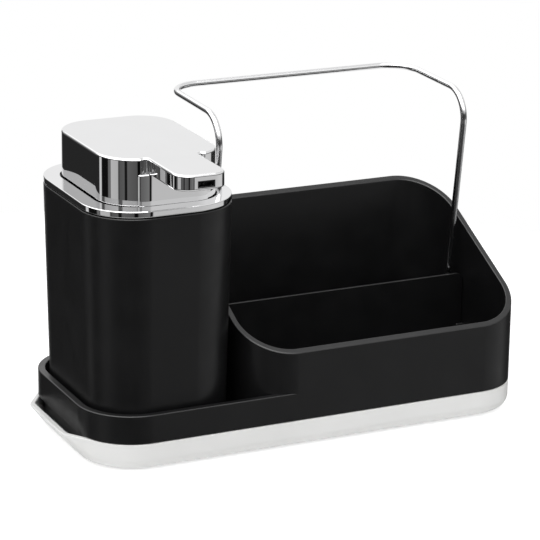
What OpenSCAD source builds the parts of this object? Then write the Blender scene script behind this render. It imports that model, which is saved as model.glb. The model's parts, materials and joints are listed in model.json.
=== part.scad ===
// Soap pump caddy for a kitchen worktop: a drip tray, a holder with a low bay and a tall bin,
// a lift-out divider, a wire towel rail, and a rounded square bottle with a press pump.
// Millimetres. X runs along the caddy with the bin on the right, the front is at -Y, and the
// worktop is at Z = 0.

/* [Holder] */
// Length of the holder, without the tray's pouring lip
holder_l = 230; // [215:1:260]
// Depth of the holder from front to back
holder_w = 102.6; // [96:0.2:120]
// Corner radius at the bottle's end, seen from above
bay_r = 28; // [20:0.5:34]
// Corner radius at the bin's end, seen from above
bin_end_r = 25.6; // [16:0.2:34]
// Height of the low wall round the bottle's bay, above the tray's rim
low_h = 14.2; // [10:0.2:20]
// Thickness of the low wall
low_t = 3.6; // [2.4:0.1:4.4]
// Radius of the rounded edge along the top of the low wall
low_edge_r = 1; // [0.5:0.1:1.4]
// Corner radius of the bin at its bottle side
bin_r = 25; // [16:0.5:34]
// Thickness of the bin's walls
bin_t = 3; // [2:0.1:4]
// Height of the bin's front rim above the tray's rim
front_h = 34.5; // [28:0.5:45]
// Height of the bin's back rim above the tray's rim
back_h = 85; // [70:0.5:100]
// Thickness of the holder's floor
floor_t = 2.4; // [1.6:0.1:3.5]
// Height of the floor's top above the worktop
floor_top = 9.4; // [8:0.1:11]

/* [Tray] */
// Height of the tray, from its underside to its rim
tray_h = 13.4; // [11:0.1:18]
// Thickness of the tray's walls
tray_t = 2.2; // [1.6:0.1:3]
// Thickness of the tray's floor
tray_floor_t = 2; // [1.4:0.1:2.6]
// Radius of the rounded edge under the tray
tray_edge_r = 5.6; // [3:0.2:8]
// How far the pouring lip reaches past the holder
lip_reach = 7.2; // [5:0.1:12]
// Length of the pouring lip's straight edge
lip_l = 46; // [24:1:56]
// How far the rubber feet stand proud of the tray
foot_proud = 0.6; // [0.3:0.1:1]
// Diameter of a rubber foot
foot_d = 12; // [8:0.5:18]

/* [Divider] */
// Thickness of the divider plate
divider_t = 1.5; // [1:0.1:3]
// Height of the divider's top edge above the worktop
divider_top = 55; // [40:0.5:66]
// Distance of the divider behind the caddy's middle
divider_y = 12; // [6:0.2:14]
// Radius of the divider's top corners
divider_r = 4; // [2:0.5:8]

/* [Towel rail] */
// Diameter of the rail's wire
wire_d = 3.2; // [2.5:0.1:4]
// Distance of a leg's centre line from the end of the bin
leg_inset = 8.4; // [7.6:0.1:14]
// Height of the rail's arms above the worktop
arm_z = 151.4; // [130:0.2:180]
// Lean of the legs towards the front, in degrees
leg_lean = 7.4; // [3:0.1:9]
// Rise of the arms towards the back, in degrees
arm_rise = 1.2; // [0:0.1:4]
// Length of an arm, from the legs' line to the back bar's line
arm_l = 66.2; // [50:0.2:80]
// Centre line radius of the bend from leg to arm
leg_bend_r = 14.5; // [8:0.5:20]
// Centre line radius of the bend from arm to back bar
bar_bend_r = 16; // [8:0.5:20]

/* [Bottle] */
// Width of the bottle and its collar, along the caddy
bottle_w = 74.4; // [66:0.2:84]
// Corner radius of the bottle at its top
bottle_r = 26; // [18:0.5:32]
// Height of the collar's top above the worktop
collar_z = 126.1; // [110:0.2:150]
// Thickness of the bottle's walls
bottle_t = 2.4; // [1.6:0.1:3]
// Inward lean of the bottle's walls, in degrees
bottle_draft = 1.1; // [0:0.1:1.5]

/* [Collar and pump] */
// Height of the collar plate's edge
collar_h = 3; // [2.6:0.1:5]
// Radius of the rounded edge round the collar's top
collar_edge_r = 0.6; // [0.3:0.1:1]
// Width of the collar's top, between its edge and the groove round the head
collar_border = 7.9; // [6.5:0.1:10]
// Gap between the head and the collar's opening
head_gap = 0.7; // [0.4:0.1:1.5]
// Travel of the head when it is pressed
stroke = 12; // [8:0.5:12]
// Diameter of the pump cylinder's bore
bore_d = 13.6; // [12:0.2:16]
// Outer diameter of the stem
stem_d = 8; // [7:0.2:8.6]
// Outer diameter of the dip tube
tube_d = 6.8; // [5:0.2:7.4]
// Wire diameter of the return spring
spring_wire = 0.9; // [0.6:0.1:1]
// Number of turns of the return spring
spring_turns = 7; // [5:1:8]

/* [Head] */
// Height of the head above the collar
head_h = 22.5; // [18:0.2:28]
// Corner radius of the head at its back, seen from above
head_back_r = 18; // [12:0.5:22]
// Corner radius of the head's front shoulders, seen from above
head_front_r = 20; // [14:0.5:24]
// Thickness of the spout tongue
spout_t = 7.7; // [6.4:0.1:9]
// Width of the spout tongue
spout_w = 25; // [18:0.5:30]
// How far the spout's tip stands in front of the bottle
spout_reach = 25.4; // [18:0.2:36]
// Offset of the spout from the head's middle, towards the bin
spout_shift = 2.4; // [0:0.2:4]
// Corner radius of the spout's tip, seen from above
spout_r = 8; // [4:0.5:10]
// Width of the outlet slot
slot_w = 8.6; // [6:0.2:12]
// Height of the outlet slot
slot_h = 3.4; // [2:0.1:4]
// Thickness of the head's shell
shell_t = 1.6; // [1.2:0.1:2]
// Radius of the rounded edge round the head's top
head_edge_r = 1.2; // [0.6:0.1:1.4]

/* [Hidden] */
$fn = 64;

black = [0.10, 0.10, 0.105];
chrome = [0.83, 0.84, 0.86];
white = [0.90, 0.90, 0.90];
rubber = [0.22, 0.22, 0.23];
milky = [0.80, 0.82, 0.82];
steel = [0.66, 0.67, 0.69];

// Clearances and one overrun for cuts
seat_gap = 0.25;
slide_gap = 0.3;
run_gap = 0.08;
touch_gap = 0.05;
over = 1;
hull_fn = 48;
edge_lap = 0.02;

// The whole caddy is centred on its own outline, so the holder stands off to the right by half the lip
body_x = lip_reach / 2;
left_x = -holder_l / 2;
right_x = holder_l / 2;
front_y = -holder_w / 2;
back_y = holder_w / 2;
seam_z = foot_proud + tray_h;
tray_in_z = foot_proud + tray_floor_t;
bay_play = 0.2;
bin_x = left_x + low_t + bay_play + bottle_w;
bin_l = right_x - bin_x;
bin_mid_x = (bin_x + right_x) / 2;
leg_gap = bin_l - 2 * leg_inset;
bottle_d = holder_w - 2 * low_t - bay_play;
front_z = seam_z + front_h;
back_z = seam_z + back_h;
slope = (back_z - front_z) / holder_w;

// The holder's skirt nests in the tray
skirt_in = tray_t + 2 * seat_gap;
skirt_t = 2;
skirt_z = tray_in_z + tray_edge_r - tray_t + seat_gap;
ledge_t = floor_t;

// The tray's rounded underside: steps of a quarter circle, each a share of its angle
edge_steps = 5;
lip_round = 1;
lip_r = tray_t + lip_round;
rim_land = 0.6;
pad_h = 1.5;
foot_x = holder_l / 2 - bay_r - foot_d / 2;
foot_y = holder_w / 2 - tray_edge_r - foot_d;

// Divider: its channels on the bin's end walls
divider_bottom = floor_top + seat_gap;
divider_x0 = bin_x + bin_t + slide_gap;
divider_x1 = right_x - bin_t - slide_gap;
rib_t = 1.6;
rib_bite = 4;
rib_gap = divider_t + 2 * slide_gap;
rib_rise = 14;
rib_top = seam_z + rib_rise;

// Rail: the legs' line leans, and ends in tilted sockets on the bin's floor
wire_swell = 0.04;
sleeve_t = 0.7;
sleeve_h = 10;
socket_wall = 1.6;
socket_h = 13;
socket_d = wire_d + 2 * sleeve_t + 2 * slide_gap;
leg_y_ref = 17.2;
leg_z_ref = 59.5;
leg_foot_z = floor_top + sleeve_t;
leg_top_y = leg_y_ref - (arm_z - leg_z_ref) * tan(leg_lean);
leg_foot_y = leg_y_ref + (leg_z_ref - leg_foot_z) * tan(leg_lean);
leg_dir = [0, -sin(leg_lean), cos(leg_lean)];
arm_dir = [0, cos(arm_rise), sin(arm_rise)];
bend_turn = 90 + leg_lean - arm_rise;
bar_y = leg_top_y + arm_l * cos(arm_rise);
bar_z = arm_z + arm_l * sin(arm_rise);

// Bottle and pump, all on one upright axis
lean = tan(bottle_draft);
pump_x = bin_x - seat_gap * 2 - bottle_w / 2;
bottle_z = floor_top + seat_gap;
bottle_top = collar_z - collar_h - 2 * seat_gap;
bottle_h = bottle_top - bottle_z;
bottle_foot_r = 4;
bottle_floor_t = 2.6;
pad_recess = 0.8;
mouth_land = 2;

// Collar, well and seal
flange_t = 1.8;
plate_t = 1.5;
plate_edge_t = 1.3;
well_w = bottle_w - 2 * collar_border;
well_d = bottle_d - 2 * collar_border;
well_back_r = head_back_r + head_gap;
well_front_r = head_front_r + head_gap;
well_t = 1.8;
well_floor_t = 2;
head_skirt = 4;
well_floor_gap = 1.6;
well_bottom = collar_z - head_skirt - stroke - well_floor_gap;
seal_h = 4;
seal_drop = 4;

// Head
head_w = well_w - 2 * head_gap;
head_d = well_d - 2 * head_gap;
head_z = collar_z - head_skirt;
head_top = collar_z + head_h;
spout_z = head_top - spout_t;
spout_y = -bottle_d / 2 - spout_reach;
notch_r = 1.6;
slot_z = (spout_z + head_top) / 2 - slot_h / 4;
slot_shift = 1.2;
slot_x = spout_shift + slot_shift;

// Pump insides, from the well's floor down
gasket_t = 1;
cyl_t = 1.7;
cyl_d = bore_d + 2 * cyl_t;
cyl_flange_w = 4.5;
cyl_flange_t = 2;
flange_d = cyl_d + 2 * cyl_flange_w;
cyl_top = well_bottom + gasket_t + cyl_flange_t;
cap_t = 1.8;
cap_lip = 4.2;
cap_d = bore_d + 2 * cap_lip;
plug_l = 10;
piston_h = 8;
piston_socket = 4;
piston_groove = 2.4;
groove_depth = 1;
piston_rest = cyl_top - plug_l;
spring_l = 24;
cyl_floor = piston_rest - piston_h - spring_l;
cyl_floor_t = 4;
nipple_t = 1.3;
nipple_l = 9;
ball_d = 6;
ball_seat_d = 4;
ball_gap = 1.1;
spring_r = ball_d / 2 + spring_wire / 2 + ball_gap;
spring_sides = 6;
spring_rings = 12;
spring_rise = spring_l - 2 * touch_gap - spring_wire;
stem_bore = 4;
out_ball_d = 4.6;
out_seat_d = 3.4;
out_room_d = 5.4;
out_room_h = 7;
stem_bottom = piston_rest - piston_socket;
stem_rise = 12;
stem_top = collar_z + stem_rise;
boss_t = 2.5;
boss_d = stem_d + 2 * boss_t;
press_gap = 1.2;
boss_bottom = cyl_top + cap_t + stroke + press_gap;
core_rise = 2;
core_z = collar_z + core_rise;
core_t = 2;
duct_w = 7.6;
duct_z0 = spout_z + shell_t + touch_gap;
duct_z1 = head_top - shell_t - touch_gap;
duct_bore = 2.6;
nozzle_l = 6;
nozzle_side = 1;
nozzle_back = 2;
tube_gap = 2.4;
tube_bottom = bottle_z + bottle_floor_t + tube_gap;
tube_bore_share = 0.66;

// Rounded rectangle from x0 to x1 and w deep, with radius r0 at its left and r1 at its right
module plan(x0, x1, w, r0, r1) {
    translate([x0 + r0, -w / 2]) square([x1 - x0 - r0 - r1, w]);
    translate([x0, r0 - w / 2]) square([(x1 - x0) / 2, w - 2 * r0]);
    translate([(x0 + x1) / 2, r1 - w / 2]) square([(x1 - x0) / 2, w - 2 * r1]);
    for (s = [-1, 1]) {
        translate([x0 + r0, s * (w / 2 - r0)]) circle(r0);
        translate([x1 - r1, s * (w / 2 - r1)]) circle(r1);
    }
}

// Rounded rectangle w wide and d deep, with radius rf at its front corners and rb at its back ones
module block_plan(w, d, rf, rb) {
    rotate(90) plan(-d / 2, d / 2, w, rf, rb);
}

// The holder's outline, drawn in on every side
module outline(inset) {
    plan(left_x + inset, right_x - inset, holder_w - 2 * inset, bay_r - inset, bin_end_r - inset);
}

// The bin's outline, drawn in on every side
module bin_outline(inset) {
    plan(bin_x + inset, right_x - inset, holder_w - 2 * inset, bin_r - inset, bin_end_r - inset);
}

// What a rounded edge of radius e takes off, beside a wall that faces +X, with its top at Y = 0
module edge_profile(e) {
    difference() {
        translate([-e, -e]) square([e + over, e + over]);
        translate([-e, -e]) circle(e);
    }
}

// The same along one straight side that faces the direction a, and round one corner
module edge_bar(x, y, a, len, e) {
    translate([x, y, 0]) rotate(a) rotate([90, 0, 0]) linear_extrude(len + 2 * edge_lap, center = true)
        edge_profile(e);
}

module edge_corner(x, y, a, r, e) {
    translate([x, y, 0]) rotate(a) rotate_extrude(angle = 90) translate([r, 0]) edge_profile(e);
}

// The same all round the top of a plan
module edge_round(x0, x1, w, r0, r1, e) {
    edge_bar(x0, 0, 180, w - 2 * r0, e);
    edge_bar(x1, 0, 0, w - 2 * r1, e);
    for (s = [-1, 1]) edge_bar((x0 + r0 + x1 - r1) / 2, s * w / 2, s * 90, x1 - r1 - x0 - r0, e);
    edge_corner(x0 + r0, w / 2 - r0, 90, r0, e);
    edge_corner(x0 + r0, r0 - w / 2, 180, r0, e);
    edge_corner(x1 - r1, w / 2 - r1, 0, r1, e);
    edge_corner(x1 - r1, r1 - w / 2, 270, r1, e);
}

module at_body() {
    translate([body_x, 0, 0]) children();
}

module at_pump() {
    translate([body_x + pump_x, 0, 0]) children();
}

// One ring of the tray's wall from z0 to z1, drawn in by in0 below and in1 above, for a hull
module tray_ring(z0, z1, in0, in1) {
    for (s = [-1, 1]) {
        translate([left_x + bay_r, s * (holder_w / 2 - bay_r), z0])
            cylinder(r1 = bay_r - in0, r2 = bay_r - in1, h = z1 - z0, $fn = hull_fn);
        translate([right_x - bin_end_r, s * (holder_w / 2 - bin_end_r), z0])
            cylinder(r1 = bin_end_r - in0, r2 = bin_end_r - in1, h = z1 - z0, $fn = hull_fn);
    }
}

// The rounded edge under a shell: rings that follow a quarter circle of radius r, from z up
module tray_edge(z, r, inset) {
    for (i = [1 : edge_steps]) {
        a0 = 90 * (i - 1) / edge_steps;
        a1 = 90 * i / edge_steps;
        tray_ring(z + r * (1 - cos(a0)), z + r * (1 - cos(a1)),
            inset + r * (1 - sin(a0)), inset + r * (1 - sin(a1)));
    }
}

// The two ends of the pouring lip's edge, at the rim
module lip_ends(h, inset) {
    for (s = [-1, 1])
        translate([left_x - lip_reach + lip_r, s * (lip_l / 2 - lip_r), seam_z - rim_land])
            cylinder(r = lip_r - inset, h = h, $fn = hull_fn);
}

module drip_tray() {
    color(white) at_body() difference() {
        hull() {
            tray_edge(foot_proud, tray_edge_r, 0);
            tray_ring(foot_proud + tray_edge_r, seam_z, 0, 0);
            lip_ends(rim_land, 0);
        }
        hull() {
            tray_edge(tray_in_z, tray_edge_r - tray_t, tray_t);
            tray_ring(tray_in_z + tray_edge_r - tray_t, seam_z + over, tray_t, tray_t);
            lip_ends(rim_land + over, tray_t);
        }
        for (sx = [-1, 1], sy = [-1, 1])
            translate([sx * foot_x, sy * foot_y, foot_proud - over])
                cylinder(d = foot_d, h = over + pad_h - foot_proud);
    }
}

module foot(sx, sy) {
    color(rubber) at_body() translate([sx * foot_x, sy * foot_y, 0])
        cylinder(d = foot_d - 2 * touch_gap, h = pad_h);
}

module foot_front_left() { foot(-1, -1); }
module foot_front_right() { foot(1, -1); }
module foot_back_left() { foot(-1, 1); }
module foot_back_right() { foot(1, 1); }

// The bin's block under its sloping rim
module bin_block(inset, z0, top_over) {
    intersection() {
        translate([0, 0, z0]) linear_extrude(back_z - z0 + 2 * over) bin_outline(inset);
        translate([left_x, 0, 0]) rotate([90, 0, 90]) linear_extrude(holder_l + over) polygon([
            [front_y, z0], [back_y, z0],
            [back_y, back_z + top_over], [front_y, front_z + top_over]]);
    }
}

// One tilted socket for a leg of the rail, and its bore
module socket_post(x) {
    side = sign(x - bin_mid_x);
    wall_x = bin_mid_x + side * (bin_l / 2 - skirt_in - skirt_t);
    intersection() {
        union() {
            translate([x, leg_foot_y, leg_foot_z]) rotate([leg_lean, 0, 0]) translate([0, 0, -floor_t * 2])
                cylinder(d = socket_d + 2 * socket_wall, h = socket_h + 2 * floor_t);
            translate([min(x, wall_x), leg_foot_y - socket_wall / 2, floor_top - floor_t / 2])
                cube([abs(wall_x - x), socket_wall, socket_h]);
        }
        translate([left_x, front_y, floor_top - floor_t]) cube([holder_l, holder_w, holder_w]);
    }
}

module socket_bore(x) {
    translate([x, leg_foot_y, leg_foot_z]) rotate([leg_lean, 0, 0]) translate([0, 0, -sleeve_t - seat_gap])
        cylinder(d = socket_d, h = 2 * socket_h + sleeve_t);
}

// Two ribs that guide the divider's end, from x0 to x1
module channel(x0, x1) {
    for (s = [-1, 1])
        translate([x0, divider_y + s * (rib_gap + rib_t) / 2 - rib_t / 2, floor_top - floor_t / 2])
            cube([x1 - x0, rib_t, rib_top - floor_top + floor_t / 2]);
}

module drain_slots() {
    slot = 3;
    slot_l = 24;
    pitch = 12;
    first = bin_x + bin_r;
    count = floor((right_x - bin_end_r - first) / pitch);
    for (i = [0 : count], s = [-1, 1])
        translate([first + i * pitch, s * holder_w / 4, floor_top - floor_t - over])
            linear_extrude(floor_t + 2 * over) {
                square([slot, slot_l - slot], center = true);
                for (e = [-1, 1]) translate([0, e * (slot_l - slot) / 2]) circle(d = slot);
            }
}

module holder() {
    leg_x = leg_gap / 2;
    in_low = skirt_in + skirt_t;
    color(black) at_body() difference() {
        union() {
            difference() {
                union() {
                    translate([0, 0, seam_z + seat_gap]) linear_extrude(low_h - seat_gap) outline(0);
                    bin_block(0, seam_z + seat_gap, 0);
                    translate([0, 0, skirt_z]) linear_extrude(seam_z - skirt_z + ledge_t) outline(skirt_in);
                }
                translate([0, 0, seam_z + ledge_t]) linear_extrude(low_h + over) difference() {
                    outline(low_t);
                    bin_outline(0);
                }
                translate([0, 0, floor_top]) linear_extrude(seam_z + ledge_t) difference() {
                    outline(in_low);
                    bin_outline(0);
                }
                bin_block(bin_t, seam_z + ledge_t, over + slope * bin_t);
                translate([0, 0, floor_top]) linear_extrude(seam_z + 2 * ledge_t - floor_top)
                    bin_outline(in_low);
                translate([0, 0, skirt_z - over]) linear_extrude(floor_top - floor_t - skirt_z + over)
                    outline(in_low);
                difference() {
                    translate([0, 0, seam_z + low_h])
                        edge_round(left_x, right_x, holder_w, bay_r, bin_end_r, low_edge_r);
                    translate([0, 0, seam_z]) linear_extrude(2 * low_h) bin_outline(0);
                    translate([bin_x + bin_r, front_y - over, seam_z])
                        cube([bin_l + over, holder_w + 2 * over, 2 * low_h]);
                }
            }
            channel(bin_x + skirt_in, bin_x + bin_t + rib_bite);
            channel(right_x - bin_t - rib_bite, right_x - skirt_in);
            for (s = [-1, 1]) socket_post(bin_mid_x + s * leg_x);
        }
        for (s = [-1, 1]) socket_bore(bin_mid_x + s * leg_x);
        drain_slots();
    }
}

module divider() {
    w = divider_x1 - divider_x0;
    h = divider_top - divider_bottom;
    step_in = skirt_in + skirt_t - bin_t;
    step_h = seam_z + ledge_t + seat_gap - divider_bottom;
    color(black) at_body() translate([divider_x0, divider_y + divider_t / 2, divider_bottom])
        rotate([90, 0, 0]) linear_extrude(divider_t) {
            translate([step_in, 0]) square([w - 2 * step_in, step_h + over]);
            translate([0, step_h]) square([w, h - step_h - divider_r]);
            translate([divider_r, step_h]) square([w - 2 * divider_r, h - step_h]);
            for (x = [divider_r, w - divider_r]) translate([x, h - divider_r]) circle(divider_r);
        }
}

// A quarter-like bend of wire in the XZ plane: starts at the origin going up, turns towards +X
module bend(radius, turn) {
    translate([radius, 0, 0]) rotate([90, 0, 0]) rotate([0, 0, 180 - turn])
        rotate_extrude(angle = turn) translate([radius, 0]) circle(d = wire_d);
}

// A straight stretch of wire, with a hair's swell at its two ends that runs it into the bends
module straight(len) {
    cylinder(d = wire_d, h = len);
    for (z = [0, len]) translate([0, 0, z]) sphere(d = wire_d + wire_swell);
}

// One side of the rail, from its foot to the end of the back bar
module rail_side() {
    leg_len = (arm_z - leg_foot_z) / cos(leg_lean);
    leg_cut = leg_bend_r * tan(bend_turn / 2);
    translate([0, leg_foot_y, leg_foot_z]) rotate([leg_lean, 0, 0]) cylinder(d = wire_d, h = sleeve_h);
    translate([0, leg_foot_y, leg_foot_z]) rotate([leg_lean, 0, 0]) translate([0, 0, sleeve_h])
        straight(leg_len - leg_cut - sleeve_h);
    translate([0, leg_top_y, arm_z] - leg_cut * leg_dir) rotate([leg_lean, 0, 0]) rotate([0, 0, 90])
        bend(leg_bend_r, bend_turn);
    translate([0, leg_top_y, arm_z] + leg_cut * arm_dir) rotate([arm_rise - 90, 0, 0])
        straight(arm_l - leg_cut - bar_bend_r);
    translate([0, bar_y, bar_z] - bar_bend_r * arm_dir) rotate([arm_rise - 90, 0, 0]) bend(bar_bend_r, 90);
}

module towel_rail() {
    color(chrome) at_body() translate([bin_mid_x, 0, 0]) {
        translate([-leg_gap / 2, 0, 0]) rail_side();
        mirror([1, 0, 0]) translate([-leg_gap / 2, 0, 0]) rail_side();
        translate([bar_bend_r - leg_gap / 2, bar_y, bar_z]) rotate([0, 90, 0])
            straight(leg_gap - 2 * bar_bend_r);
    }
}

module rail_sleeve(side) {
    color(rubber) at_body() translate([bin_mid_x + side * leg_gap / 2, leg_foot_y, leg_foot_z])
        rotate([leg_lean, 0, 0]) difference() {
            translate([0, 0, -sleeve_t]) cylinder(d = wire_d + 2 * sleeve_t, h = sleeve_h);
            cylinder(d = wire_d, h = sleeve_h);
        }
}

module rail_sleeve_left() { rail_sleeve(-1); }
module rail_sleeve_right() { rail_sleeve(1); }

// One ring of the bottle's wall from z0 to z1, drawn in from its top outline, for a hull
module bottle_ring(z0, z1, in0, in1) {
    for (sx = [-1, 1], sy = [-1, 1])
        translate([sx * (bottle_w / 2 - bottle_r), sy * (bottle_d / 2 - bottle_r), z0])
            cylinder(r1 = bottle_r - in0, r2 = bottle_r - in1, h = z1 - z0, $fn = hull_fn);
}

module bottle() {
    foot_z = bottle_z + pad_recess / 2;
    in_foot = bottle_floor_t / 2;
    color(black) at_pump() difference() {
        hull() {
            for (i = [1 : edge_steps - 1]) {
                a0 = 90 * (i - 1) / (edge_steps - 1);
                a1 = 90 * i / (edge_steps - 1);
                bottle_ring(foot_z + bottle_foot_r * (1 - cos(a0)), foot_z + bottle_foot_r * (1 - cos(a1)),
                    lean * bottle_h + bottle_foot_r * (1 - sin(a0)),
                    lean * bottle_h + bottle_foot_r * (1 - sin(a1)));
            }
            bottle_ring(bottle_top - mouth_land, bottle_top, 0, 0);
        }
        hull() {
            bottle_ring(foot_z + bottle_floor_t, foot_z + bottle_floor_t + in_foot,
                bottle_t + lean * bottle_h + in_foot, bottle_t + lean * bottle_h);
            bottle_ring(bottle_top - mouth_land, bottle_top + over, bottle_t, bottle_t);
        }
        translate([0, 0, bottle_z - over]) linear_extrude(over + pad_recess) pad_outline(0);
    }
}

module pad_outline(inset) {
    pad_in = bottle_foot_r + 2 * bottle_t + lean * bottle_h + inset;
    difference() {
        bottle_outline(pad_in);
        block_plan(bottle_w / 2 + 2 * inset, bottle_d / 2 + 2 * inset, bottle_r / 2, bottle_r / 2);
    }
}

module bottle_pad() {
    color(rubber) at_pump() translate([0, 0, bottle_z]) linear_extrude(pad_recess) pad_outline(touch_gap);
}

// The bottle's top outline, drawn in on every side
module bottle_outline(inset) {
    block_plan(bottle_w - 2 * inset, bottle_d - 2 * inset, bottle_r - inset, bottle_r - inset);
}

// The outline of the collar's opening, let out on every side
module well_outline(out) {
    block_plan(well_w + 2 * out, well_d + 2 * out, well_front_r + out, well_back_r + out);
}

module collar_plate() {
    color(chrome) at_pump() difference() {
        translate([0, 0, collar_z - collar_h]) linear_extrude(collar_h) bottle_outline(0);
        translate([0, 0, collar_z - collar_h - over]) linear_extrude(collar_h + 2 * over) well_outline(0);
        translate([0, 0, collar_z - collar_h - over]) linear_extrude(collar_h + over - plate_t)
            bottle_outline(plate_edge_t);
        translate([0, 0, collar_z]) rotate(90)
            edge_round(-bottle_d / 2, bottle_d / 2, bottle_w, bottle_r, bottle_r, collar_edge_r);
    }
}

module pump_well() {
    flange_in = plate_edge_t + touch_gap;
    flange_z = collar_z - plate_t;
    color(black) at_pump() difference() {
        union() {
            translate([0, 0, flange_z - flange_t]) linear_extrude(flange_t) bottle_outline(flange_in);
            translate([0, 0, well_bottom - well_floor_t])
                linear_extrude(flange_z - well_bottom + well_floor_t) well_outline(well_t);
        }
        translate([0, 0, well_bottom]) linear_extrude(collar_z - well_bottom + over) well_outline(0);
        translate([0, 0, well_bottom - well_floor_t - over])
            cylinder(d = cyl_d + 2 * touch_gap, h = well_floor_t + 2 * over);
    }
}

module well_seal() {
    mouth_in = bottle_t + slide_gap + lean * (seal_h + seal_drop);
    color(rubber) at_pump() translate([0, 0, collar_z - plate_t - flange_t - seal_drop - seal_h])
        linear_extrude(seal_h) difference() {
            bottle_outline(mouth_in);
            well_outline(well_t);
        }
}

module pump_cylinder() {
    color(milky) at_pump() difference() {
        union() {
            translate([0, 0, cyl_top - cyl_flange_t]) cylinder(d = flange_d, h = cyl_flange_t);
            translate([0, 0, cyl_floor - cyl_floor_t])
                cylinder(d = cyl_d, h = cyl_top - cyl_floor + cyl_floor_t - over);
            translate([0, 0, cyl_floor - cyl_floor_t - nipple_l])
                cylinder(d = tube_d + 2 * nipple_t, h = nipple_l + over);
        }
        translate([0, 0, cyl_floor]) cylinder(d = bore_d, h = cyl_top - cyl_floor + over);
        translate([0, 0, cyl_floor - cyl_floor_t - over])
            cylinder(d = ball_seat_d, h = cyl_floor_t + 2 * over);
        translate([0, 0, cyl_floor - cyl_floor_t - nipple_l - over])
            cylinder(d = tube_d + 2 * touch_gap, h = nipple_l + over);
    }
}

module cylinder_gasket() {
    color(rubber) at_pump() translate([0, 0, well_bottom]) difference() {
        cylinder(d = flange_d, h = gasket_t);
        translate([0, 0, -over]) cylinder(d = cyl_d + 2 * touch_gap, h = gasket_t + 2 * over);
    }
}

module cylinder_cap() {
    color(black) at_pump() difference() {
        union() {
            translate([0, 0, cyl_top]) cylinder(d = cap_d, h = cap_t);
            translate([0, 0, piston_rest + seat_gap]) cylinder(d = bore_d - 2 * touch_gap, h = plug_l);
        }
        translate([0, 0, piston_rest - over])
            cylinder(d = stem_d + 2 * run_gap, h = plug_l + cap_t + 2 * over);
    }
}

module inlet_ball() {
    rise = sqrt(pow(ball_d, 2) - pow(ball_seat_d, 2)) / 2;
    color(steel) at_pump() translate([0, 0, cyl_floor + rise]) sphere(d = ball_d);
}

module dip_tube() {
    color(milky) at_pump() difference() {
        translate([0, 0, tube_bottom]) cylinder(d = tube_d, h = cyl_floor - cyl_floor_t - tube_bottom);
        translate([0, 0, tube_bottom - over])
            cylinder(d = tube_d * tube_bore_share, h = cyl_floor - tube_bottom + 2 * over);
    }
}

// The return spring: one unbroken tube swept along a helix, with its ends closed flat
function spring_point(t, a) =
    let (turn = 360 * spring_turns * t)
    let (r = spring_r + spring_wire / 2 * cos(a))
    [r * cos(turn), r * sin(turn), spring_wire / 2 + spring_rise * t + spring_wire / 2 * sin(a)];

module return_spring() {
    n = spring_turns * spring_rings;
    points = [for (i = [0 : n], k = [0 : spring_sides - 1]) spring_point(i / n, 360 * k / spring_sides)];
    sides = [for (i = [0 : n - 1], k = [0 : spring_sides - 1])
        let (a = i * spring_sides + k, b = i * spring_sides + (k + 1) % spring_sides)
        each [[a, a + spring_sides, b], [b, a + spring_sides, b + spring_sides]]];
    first = [for (k = [1 : spring_sides - 2]) [0, k, k + 1]];
    last = [for (k = [1 : spring_sides - 2])
        [n * spring_sides, n * spring_sides + k + 1, n * spring_sides + k]];
    color(steel) at_pump() translate([0, 0, cyl_floor + touch_gap])
        polyhedron(points = points, faces = concat(sides, first, last));
}

// The least gap between neighbouring turns of the spring
echo(spring_gap = spring_rise / spring_turns - spring_wire);

// The head's outline, drawn in on every side: the block, and the spout tongue
module head_outline(inset) {
    block_plan(head_w - 2 * inset, head_d - 2 * inset, head_front_r - inset, head_back_r - inset);
}

module spout_outline(inset) {
    root = head_front_r;
    len = -spout_y - head_d / 2 + root;
    translate([spout_shift, spout_y + len / 2]) difference() {
        block_plan(spout_w - 2 * inset, len - 2 * inset, spout_r - inset, touch_gap);
        translate([-spout_w, len / 2 - inset - touch_gap]) square([2 * spout_w, over]);
    }
}

// Front edge of the block at x, and the notches that stand on it beside the tongue
function front_edge_y(x) =
    let (run = max(abs(x) - head_w / 2 + head_front_r, 0))
    head_front_r - head_d / 2 - sqrt(pow(head_front_r, 2) - pow(run, 2));

module notches(out) {
    for (s = [-1, 1])
        let (x = spout_shift + s * (spout_w + notch_r) / 2)
            translate([x, front_edge_y(x)]) circle(notch_r + out);
}

// What the rounded edge takes off the top of the block and of the tongue, up to the notches
module head_edges() {
    e = head_edge_r;
    difference() {
        rotate(90) edge_round(-head_d / 2, head_d / 2, head_w, head_front_r, head_back_r, e);
        translate([spout_shift, -head_d / 2, 0])
            cube([spout_w + notch_r, head_front_r / 2, 4 * e], center = true);
    }
    intersection() {
        translate([spout_shift, spout_y + spout_w]) rotate(90)
            edge_round(-spout_w, spout_w, spout_w, spout_r, spout_r, e);
        translate([spout_shift - spout_w, spout_y - over, -2 * e])
            cube([2 * spout_w, -head_d / 2 - spout_y + over, 4 * e]);
    }
}

module head_shell() {
    color(chrome) at_pump() difference() {
        union() {
            translate([0, 0, head_z]) linear_extrude(head_top - head_z) head_outline(0);
            translate([0, 0, spout_z]) linear_extrude(spout_t) spout_outline(0);
        }
        translate([0, 0, spout_z]) linear_extrude(spout_t + over) notches(0);
        translate([0, 0, head_top]) head_edges();
        translate([0, 0, head_z - over]) linear_extrude(head_top - head_z + over - shell_t) difference() {
            head_outline(shell_t);
            notches(shell_t);
        }
        translate([0, 0, spout_z + shell_t]) linear_extrude(spout_t - 2 * shell_t) spout_outline(shell_t);
        translate([slot_x - slot_w / 2, spout_y - over, slot_z - slot_h / 2])
            cube([slot_w, shell_t + 2 * over, slot_h]);
    }
}

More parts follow.
